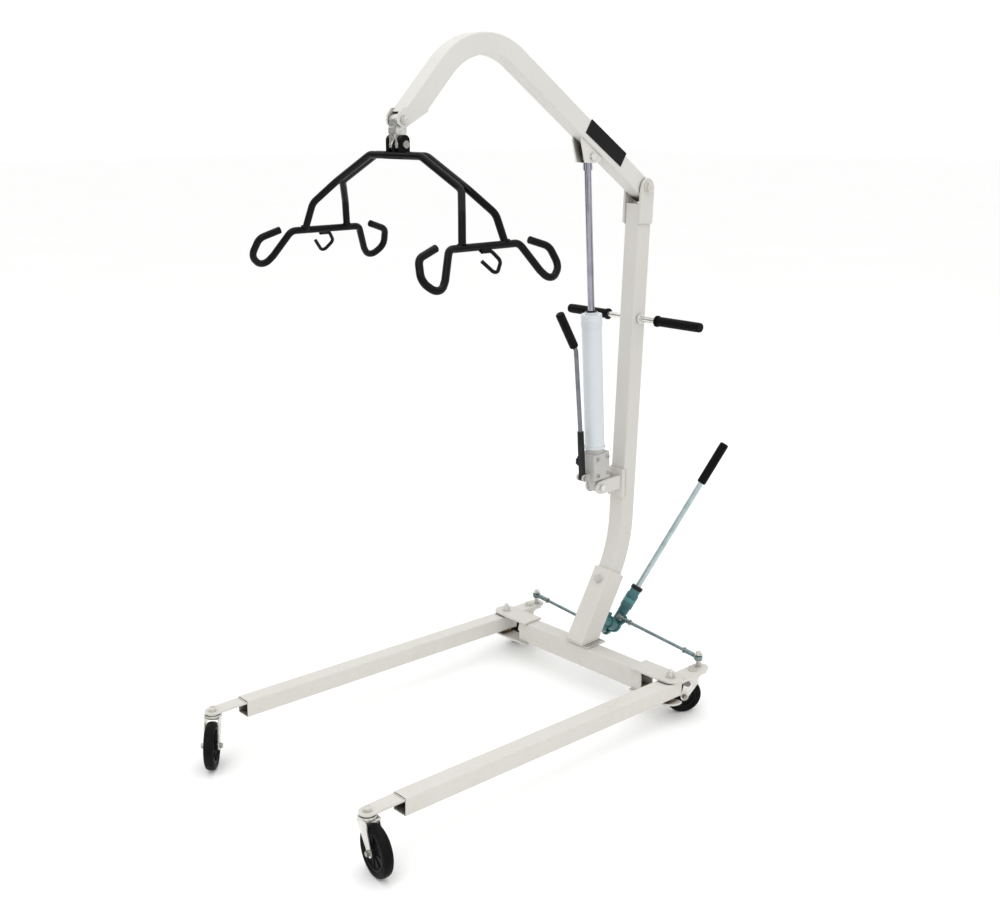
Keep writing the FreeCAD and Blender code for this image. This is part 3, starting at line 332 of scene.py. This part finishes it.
def soften(node, width, segs=2, angle=35):
    """Small rounded edges on a CAD node, which stay inside its solid."""
    o = NODES[node]
    w = o.modifiers.new("join", "WELD")
    w.merge_threshold = 0.00001
    b = o.modifiers.new("soft", "BEVEL")
    b.width, b.segments, b.limit_method = width, segs, "ANGLE"
    b.angle_limit = radians(angle)
    b.harden_normals = False


# ------------------------------------------------------------------ mesh helpers
COUNT = {}


def link(name, verts, faces, mat, body, smooth=True, cad_slot=None):
    COUNT[name] = COUNT.get(name, 0) + 1
    full = name if COUNT[name] == 1 else "%s_%02d" % (name, COUNT[name])
    me = bpy.data.meshes.new(full)
    me.from_pydata([tuple(v) for v in verts], [], faces)
    me.update()
    me.materials.append(mat)
    if smooth:
        me.polygons.foreach_set("use_smooth", [True] * len(me.polygons))
        me.set_sharp_from_angle(angle=radians(38))
    o = bpy.data.objects.new(full, me)
    bpy.context.scene.collection.objects.link(o)
    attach(o, body)
    return o


def basis(d):
    d = Vector(d).normalized()
    a = Vector((0, 0, 1)) if abs(d.z) < 0.9 else Vector((1, 0, 0))
    u = d.cross(a).normalized()
    return d, u, d.cross(u).normalized()


def lathe_data(origin, axis, prof, seg=48, closed=True):
    d, u, v = basis(axis)
    vs, fs = [], []
    n = len(prof)
    for i in range(seg):
        a = 2 * pi * i / seg
        r_ = u * cos(a) + v * sin(a)
        for r, h in prof:
            vs.append(origin + d * h + r_ * r)
    m = n if closed else n - 1
    for i in range(seg):
        j = (i + 1) % seg
        for k in range(m):
            k2 = (k + 1) % n
            fs.append((i * n + k, j * n + k, j * n + k2, i * n + k2))
    return vs, fs


def lathe(name, origin, axis, prof, mat, body, seg=48, closed=True):
    vs, fs = lathe_data(origin, axis, prof, seg, closed)
    return link(name, vs, fs, mat, body)


def rod_data(pts, rad, seg=12, ripple=0.0, pitch=0.0022, step=None, closed=False, flat=1.0, up=None):
    pts = [Vector(p) for p in pts]
    if step:
        out = []
        src = pts + ([pts[0]] if closed else [])
        for a, b in zip(src, src[1:]):
            k = max(1, int((b - a).length / step))
            out += [a.lerp(b, i / k) for i in range(k)]
        if not closed:
            out.append(src[-1])
        pts = out
    n = len(pts)
    vs, fs = [], []
    s = 0.0
    t0 = (pts[1] - pts[0]).normalized()
    d, u, v = basis(t0)
    for i, p in enumerate(pts):
        if closed:
            t = (pts[(i + 1) % n] - pts[i - 1]).normalized()
        else:
            t = (pts[min(i + 1, n - 1)] - pts[max(i - 1, 0)]).normalized()
        q = t0.rotation_difference(t)
        u = (q @ u)
        u = (u - t * u.dot(t)).normalized()
        v = t.cross(u)
        t0 = t
        if i:
            s += (p - pts[i - 1]).length
        r = rad * (1 + ripple * sin(2 * pi * s / pitch)) if ripple else rad
        if not closed and ripple and i in (0, n - 1):
            r *= 0.55
        for k in range(seg):
            a = 2 * pi * k / seg
            vs.append(p + u * (cos(a) * r) + v * (sin(a) * r * flat))
    m = n if closed else n - 1
    for i in range(m):
        j = (i + 1) % n
        for k in range(seg):
            k2 = (k + 1) % seg
            fs.append((i * seg + k, i * seg + k2, j * seg + k2, j * seg + k))
    if not closed:
        fs.append(tuple(range(seg - 1, -1, -1)))
        fs.append(tuple((n - 1) * seg + k for k in range(seg)))
    return vs, fs


def merge(parts):
    vs, fs = [], []
    for v, f in parts:
        o = len(vs)
        vs += list(v)
        fs += [tuple(i + o for i in q) for q in f]
    return vs, fs


def bead(name, paths, rad, mat, body, closed=False):
    """Weld bead with the ripple of laid puddles."""
    parts = [rod_data(p, rad, 8, 0.13, 0.0021, 0.0006, closed) for p in paths]
    vs, fs = merge(parts)
    return link(name, vs, fs, mat, body)


def circle(c, axis, r, n=60, a0=0.0, a1=2 * pi):
    d, u, v = basis(axis)
    full = abs(a1 - a0 - 2 * pi) < 1e-6
    k = n if full else n + 1
    return [c + (u * cos(a0 + (a1 - a0) * i / n) + v * sin(a0 + (a1 - a0) * i / n)) * r for i in range(k)]


def thread_data(origin, axis, r, length, pitch, depth=0.0006):
    """A helical ridge round a shank."""
    d, u, v = basis(axis)
    per = 28
    n = int(length / pitch * per)
    vs, fs = [], []
    for i in range(n + 1):
        a = 2 * pi * i / per
        h = length * i / n
        e = min(1.0, i / per, (n - i) / per)
        rr = u * cos(a) + v * sin(a)
        for dr, dh in ((-0.0002, -pitch * 0.42), (depth * e, -pitch * 0.06), (depth * e, pitch * 0.06), (-0.0002, pitch * 0.42)):
            vs.append(origin + d * (h + dh) + rr * (r + dr))
    for i in range(n):
        for k in range(3):
            fs.append((i * 4 + k, i * 4 + k + 1, (i + 1) * 4 + k + 1, (i + 1) * 4 + k))
    return vs, fs

# ------------------------------------------------------------------ details that ride the CAD bodies
X3, Y3, Z3 = Vector((1, 0, 0)), Vector((0, 1, 0)), Vector((0, 0, 1))
CC = P0 + AN * 0.114 + AU * 0.0597


def body(node):
    return BODY[node]


def line(*pts):
    return [W(*p) for p in pts]


# weld beads of the frame
seat_y0, seat_y1, seat_z = -39.2, 31.6, 138.6
ring = [W(x, y, seat_z) for x, y in ((-31.2, seat_y0), (31.2, seat_y0), (31.2, seat_y1), (-31.2, seat_y1))]
pad = [W(x, y, 129.6) for x, y in ((-28.6, -24.4), (28.6, -24.4), (28.6, 33.6), (-28.6, 33.6))]
bead("weld_socket_foot", [ring, pad], 0.0019, WELD, "base", closed=True)
paths = [line((-39, -24.4, 124.6), (39, -24.4, 124.6))]
for sx in (1, -1):
    paths.append(line((sx * 205.4, -23, 125.0), (sx * 205.4, 23, 125.0)))
    for z in (123.0, 65.0):
        paths.append(line((sx * 208, -25.8, z), (sx * 238, -25.8, z)))
        paths.append(line((sx * 208, 25.8, z), (sx * 238, 25.8, z)))
bead("weld_pivot_plates", paths, 0.0018, WELD, "base")
# mast head ears and lower pump bracket
paths = []
for sx in (1, -1):
    paths.append(line((sx * 25.8, 158.6, 1299.6), (sx * 25.8, 205.4, 1299.6)))
    paths.append(line((sx * 26.6, 133.4, 541), (sx * 26.6, 133.4, 621)))
    paths.append(line((sx * 22.9, 117.6, 567), (sx * 22.9, 117.6, 603)))
    paths.append(line((sx * 15.2, 117.6, 567), (sx * 15.2, 117.6, 603)))
paths.append(line((-24, 128.0, 622.6), (24, 128.0, 622.6)))
bead("weld_mast", paths, 0.0017, WELD, "base")
# pump bracket under the boom
paths = []
for sx in (1, -1):
    paths.append([W(sx * 18.9, y, 1503.2 - 0.687 * (y + 19)) for y in range(-54, 20, 6)])
bead("weld_boom_bracket", paths, 0.0018, WELD, "boom")
# tongue over each front caster, and the rear arm
for node, sx in (("leg_right", 1), ("leg_left", -1)):
    x = sx * 322
    paths = [line((x - 17, -927.6, 138.6), (x + 17, -927.6, 138.6)),
             line((x - 21, 20.8, 117.4), (x - 21, 20.8, 80.0)), line((x + 21, 20.8, 117.4), (x + 21, 20.8, 80.0))]
    bead("weld_leg", paths, 0.0016, WELD, body(node))

# cradle joints, under the black coat
for sx in (1, -1):
    for sy in (1, -1):
        c = W(sx * 287.2, -638 + sy * 61.3, 1322.5)
        d = Vector((16, sy * 14, -64)).normalized()
        d.x *= sx
        bead("weld_cradle_end", [circle(c, d, 0.0092, 40)], 0.0021, BLACK, "cradle", closed=True)
    paths = [line((sx * 34.4, -652, 1501.6), (sx * 34.4, -646.5, 1504.6)), line((sx * 34.4, -629.5, 1504.6), (sx * 34.4, -624, 1501.6))]
    bead("weld_cradle_hub", paths, 0.0018, BLACK, "cradle")

# swivel races, wheel mouldings and axle nuts
for t in ("front_right", "front_left", "rear_right", "rear_left"):
    R = 0.060 if t.startswith("front") else 0.050
    fb, wb = body(t + "_caster_fork"), body(t + "_tyre")
    sw = Vector(JN[t + "_swivel"]["pos_m"])
    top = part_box(t + "_caster_fork")[1][2]
    sw.z = top
    lathe("swivel_race_" + t, sw, Z3, [(0.0176, 0.0), (0.0216, 0.0), (0.0216, 0.0011), (0.0206, 0.0026), (0.0180, 0.0030), (0.0176, 0.0026)], ZINC, fb)
    c = Vector(JN[t + "_roll"]["pos_m"])
    ax = Vector(JN[t + "_roll"]["axis"]).normalized()
    for s in (1, -1):
        # step in the tyre wall, rim of the hub and its ribs
        lathe("tyre_step_" + t, c, ax * s, [(R - 0.0128, 0.0100), (R - 0.0128, 0.0116), (R - 0.0120, 0.0124), (R - 0.0100, 0.0125), (R - 0.0092, 0.0116), (R - 0.0092, 0.0100)], TYRE, wb, 56)
        lathe("hub_rim_" + t, c, ax * s, [(R - 0.0198, 0.0070), (R - 0.0198, 0.0100), (R - 0.0190, 0.0108), (R - 0.0162, 0.0108), (R - 0.0154, 0.0100), (R - 0.0154, 0.0070)], HUBM, wb, 56)
        d, u, v = basis(ax * s)
        vs, fs = [], []
        for k in range(8):
            a = 2 * pi * k / 8
            rr, tt = u * cos(a) + v * sin(a), u * -sin(a) + v * cos(a)
            o = len(vs)
            for r, h in ((0.0122, 0.0104), (R - 0.0186, 0.0088), (R - 0.0186, 0.0050), (0.0122, 0.0060)):
                for w in (0.0010, -0.0010):
                    vs.append(c + rr * r + d * h + tt * w)
            fs += [(o, o + 2, o + 3, o + 1), (o + 2, o + 4, o + 5, o + 3), (o + 4, o + 6, o + 7, o + 5), (o + 6, o, o + 1, o + 7), (o, o + 6, o + 4, o + 2), (o + 1, o + 3, o + 5, o + 7)]
        link("hub_ribs_" + t, vs, fs, HUBM, wb, smooth=False)
        # axle nut
        nut = [c + d * h + (u * cos(radians(60 * k)) + v * sin(radians(60 * k))) * r for h, r in ((0.0236, 0.0064), (0.0266, 0.0064), (0.0271, 0.0058)) for k in range(6)]
        nf = [(k, (k + 1) % 6, 6 + (k + 1) % 6, 6 + k) for k in range(6)] + [(6 + k, 6 + (k + 1) % 6, 12 + (k + 1) % 6, 12 + k) for k in range(6)] + [tuple(range(12, 18)), tuple(range(5, -1, -1))]
        link("axle_nut_" + t, nut, nf, BOLT, fb, smooth=False)

# threads that stand out of the nuts
for sx, node in ((1, "leg_pivot_bolts"), (-1, "leg_pivot_bolts")):
    vs, fs = thread_data(W(sx * 322, 0, 143.2), Z3, 0.0060, 0.0062, 0.00150)
    link("pivot_thread", vs, fs, ZINC, body(node))
vs, fs = thread_data(W(31.0, -638, 1574), X3, 0.0051, 0.0022, 0.0010, 0.0005)
link("tip_thread", vs, fs, ZINC, body("tip_bolt"))
for sx in (1, -1):
    c0 = CC + X3 * (sx * 0.032 * cos(radians(48.8))) + AU * (sx * 0.032 * sin(radians(48.8))) - AN * 0.011
    e0 = W(sx * 317, 122.2, 147)
    dr = (e0 - c0).normalized()
    tb = body("right_tie_rod" if sx > 0 else "left_tie_rod")
    # jam nuts where the rods screw into their eyes
    for a, r in ((e0 - dr * 0.0535, 0.0088), (c0 + dr * 0.0345, 0.0088)):
        d, u, v = basis(dr)
        nut = [a + d * h + (u * cos(radians(60 * k)) + v * sin(radians(60 * k))) * r for h in (0.0, 0.0050) for k in range(6)]
        nf = [(k, (k + 1) % 6, 6 + (k + 1) % 6, 6 + k) for k in range(6)] + [tuple(range(6, 12)), tuple(range(5, -1, -1))]
        link("tie_rod_nut", nut, nf, BOLT, tb, smooth=False)
    vs, fs = thread_data(c0 + dr * 0.0400, dr, 0.0045, 0.030, 0.0015, 0.0004)
    link("tie_rod_thread", vs, fs, RODM, tb)

# teal sleeve on the crank boss, and the dark block above the crank
lathe("boss_sleeve", P0 + AU * 0.0597, AN, [(0.0152, 0.082), (0.0186, 0.082), (0.0194, 0.083), (0.0194, 0.1070), (0.0186, 0.1080), (0.0152, 0.1080)], TEAL, "base")
LD = X3 * sin(radians(12.4)) + AU * cos(radians(12.4))
LW = X3 * cos(radians(12.4)) - AU * sin(radians(12.4))
lathe("lever_collar", CC + LD * 0.1202, LD, [(0.0082, 0.0), (0.0165, 0.0), (0.0175, 0.0012), (0.0175, 0.0100), (0.0160, 0.0118), (0.0082, 0.0118)], LINK, body("crank"))
lathe("lever_band", CC + LD * 0.0765, LD, [(0.0156, 0.0), (0.0176, 0.0), (0.0180, 0.0008), (0.0180, 0.0130), (0.0176, 0.0138), (0.0156, 0.0138)], TEAL_LT, body("crank"))
# bead round the collars of the clamp
for h in (0.0618, 0.0752, 0.0918, 0.1052):
    bead("weld_clamp", [circle(CC + LD * h, LD, 0.0158, 48)], 0.0012, TEAL, body("crank"), closed=True)

# collars where the push bar passes through the mast
for s in (1, -1):
    lathe("bar_collar", W(0, 172.7, 1043), X3 * s, [(0.0082, 0.0256), (0.0128, 0.0256), (0.0132, 0.0262), (0.0132, 0.0312), (0.0122, 0.0322), (0.0082, 0.0322)], ZINC, "base")
    # ribs moulded in the push grips
    for k in range(15):
        h = 0.0985 + 0.0086 * k
        lathe("push_grip_rib", W(0, 172.7, 1043), X3 * s, [(0.0128, h), (0.01325, h + 0.0004), (0.01345, h + 0.0016), (0.01325, h + 0.0028), (0.0128, h + 0.0032)], GRIP, body("push_grips"), 40)

# wiper seal, gland ring and clamp ring of the pump
PUv, PLv = W(0, -19, 1480), W(0, 38, 585)
pa = (PUv - PLv).normalized()
lathe("wiper_seal", PLv, pa, [(0.0094, 0.4921), (0.0148, 0.4921), (0.0152, 0.4928), (0.0128, 0.4948), (0.0104, 0.4962), (0.0094, 0.4962)], SEAL, body("cylinder_cap"))
for h in (0.4585, 0.4660):
    lathe("cap_ring", PLv, pa, [(0.0284, h), (0.0290, h + 0.0004), (0.0290, h + 0.0024), (0.0284, h + 0.0028)], CYL, body("cylinder_cap"), 64)
lathe("cylinder_ring", PLv, pa, [(0.0268, 0.1126), (0.0292, 0.1126), (0.0296, 0.1134), (0.0296, 0.1176), (0.0288, 0.1186), (0.0268, 0.1186)], CYL, body("pump_cylinder"), 64)
# cap screws of the pump block
pn = Vector((0, -pa.z, pa.y))
for sx in (1, -1):
    for h in (0.040, 0.088):
        for off in (0.020, -0.020):
            c = PLv + pa * h + pn * off + X3 * (sx * 0.0290)
            if sx < 0 and off > 0:
                continue
            lathe("block_screw", c, X3 * sx, [(0.0, 0.0), (0.0052, 0.0), (0.0052, 0.0028), (0.0046, 0.0036), (0.0024, 0.0036), (0.0024, 0.0018), (0.0, 0.0018)], BOLT, body("pump_body"), 28, closed=False)

# rim and rivets of the blank plate
c1, c2 = W(23.75, -40, 1557), W(23.75, 94, 1469)
pd = (c2 - c1).normalized()
pm = Vector((0, -pd.z, pd.y))
for a in (c1 + pd * 0.006, c2 - pd * 0.006):
    for s in (0.0145, -0.0145):
        lathe("plate_rivet", a + pm * s, X3, [(0.0, 0.0011), (0.0008, 0.00105), (0.0016, 0.0007), (0.0020, 0.0), (0.0020, -0.0004)], PLATE, body("nameplate"), 24, closed=False)
rim = [c1 + pm * 0.0190 + pd * 0.001, c2 + pm * 0.0190 - pd * 0.001, c2 - pm * 0.0190 - pd * 0.001, c1 - pm * 0.0190 + pd * 0.001]
vs, fs = rod_data(rim, 0.0006, 8, step=0.004, closed=True)
link("plate_rim", vs, fs, PLATE, body("nameplate"))

# grease at the sliding and turning faces
lathe("tip_grease", W(0, -638, 1558.0), -Z3, [(0.0102, 0.0), (0.0122, 0.0004), (0.0126, 0.0014), (0.0108, 0.0019), (0.0102, 0.0017)], GREASE, body("swivel_fork"), 36)

# edges
for n, w in (("mast_bolts", 0.0006), ("crank_pivot_bolt", 0.0006), ("leg_pivot_bolts", 0.0006), ("crank_pins", 0.0006), ("tip_bolt", 0.0006),
             ("pump_upper_bolt_ends", 0.0006), ("crank", 0.0007), ("swivel_fork", 0.0007), ("swivel_yoke", 0.0007), ("right_caster_stems", 0.0005),
             ("left_caster_stems", 0.0005), ("pump_handle_socket", 0.0006), ("right_tie_rod_stud", 0.0005), ("left_tie_rod_stud", 0.0005),
             ("rear_right_brake_pedal", 0.0006), ("rear_left_brake_pedal", 0.0006), ("nameplate", 0.0003),
             ("front_right_caster_fork", 0.0005), ("front_left_caster_fork", 0.0005), ("rear_right_caster_fork", 0.0005), ("rear_left_caster_fork", 0.0005)):
    soften(n, w)

# ------------------------------------------------------------------ camera, floor and light
sc = bpy.context.scene
az, el = radians(47.2107), radians(15.2714)
back = Vector((sin(az) * cos(el), -cos(az) * cos(el), sin(el)))
cam = bpy.data.cameras.new("camera")
cam.sensor_width, cam.lens = 36.0, 45.5795
cam.clip_start, cam.clip_end = 0.05, 200.0
co = bpy.data.objects.new("camera", cam)
co.location = W(2302.02, -2456.37, 1592.36)
co.rotation_mode = "QUATERNION"
co.rotation_quaternion = (-back).to_track_quat("-Z", "Y")
sc.collection.objects.link(co)
sc.camera = co

fm = Mat("studio_floor")
fm.set("Base Color", fm.mix(fm.range(fm.noise(0.9, 3.0, 0.5), 0.3, 0.7), (0.955, 0.955, 0.950), (0.965, 0.965, 0.962)))
fm.set("Roughness", fm.mixf(fm.noise(3.0, 3.0, 0.5), 0.82, 0.95))
fm.b.inputs["Specular IOR Level"].default_value = 0.1
me = bpy.data.meshes.new("floor")
me.from_pydata([(-40, -40, 0), (40, -40, 0), (40, 40, 0), (-40, 40, 0)], [], [(0, 1, 2, 3)])
me.materials.append(fm.m)
floor = bpy.data.objects.new("floor", me)
sc.collection.objects.link(floor)

wd = bpy.data.worlds.new("studio")
wd.use_nodes = True
wd.node_tree.nodes["Background"].inputs["Color"].default_value = (1.0, 1.0, 1.0, 1)
wd.node_tree.nodes["Background"].inputs["Strength"].default_value = 1.03
sc.world = wd


def area(name, loc, at, size, power, colour=(1, 1, 1), sy=None):
    d = bpy.data.lights.new(name, "AREA")
    d.energy, d.color, d.shape = power, colour, "RECTANGLE"
    d.size, d.size_y = size, sy or size
    o = bpy.data.objects.new(name, d)
    o.location = Vector(loc)
    o.rotation_mode = "QUATERNION"
    o.rotation_quaternion = (Vector(at) - Vector(loc)).to_track_quat("-Z", "Y")
    o.visible_camera = False
    sc.collection.objects.link(o)
    return o


area("key", (1.6, -2.6, 4.6), (0, 0, 0.6), 3.2, 46.0)
area("top", (-0.6, 0.6, 4.8), (0, 0, 0.3), 3.6, 34.0)
area("side", (4.4, 1.2, 2.0), (0, 0, 0.8), 2.4, 12.0)


def flag(name, loc, at, sx, sy):
    """A dark card, seen only in the reflections of plated parts."""
    d = (Vector(at) - Vector(loc)).normalized()
    q = d.to_track_quat("-Z", "Y")
    vs = [Vector(loc) + q @ Vector((x * sx / 2, y * sy / 2, 0)) for x, y in ((-1, -1), (1, -1), (1, 1), (-1, 1))]
    m = bpy.data.meshes.new(name)
    m.from_pydata(vs, [], [(0, 1, 2, 3)])
    m.materials.append(FLAG)
    o = bpy.data.objects.new(name, m)
    sc.collection.objects.link(o)
    o.visible_camera = False
    o.visible_diffuse = False
    o.visible_shadow = False


fl = Mat("flag_cloth")
fl.set("Base Color", fl.mix(fl.noise(4.0), (0.010, 0.010, 0.012), (0.016, 0.016, 0.018)))
fl.set("Roughness", fl.mixf(fl.noise(8.0), 0.9, 1.0))
FLAG = fl.m
flag("flag_left", (-4.5, -4.0, 1.4), (0, 0, 1.2), 2.6, 4.0)
flag("flag_right", (5.2, 2.6, 1.6), (0, 0, 1.2), 1.8, 4.0)
flag("flag_front", (1.2, -6.4, 1.5), (0, 0, 1.2), 1.6, 4.0)

sc.view_settings.view_transform = "Standard"
sc.view_settings.look = "None"
sc.view_settings.exposure = 0.0
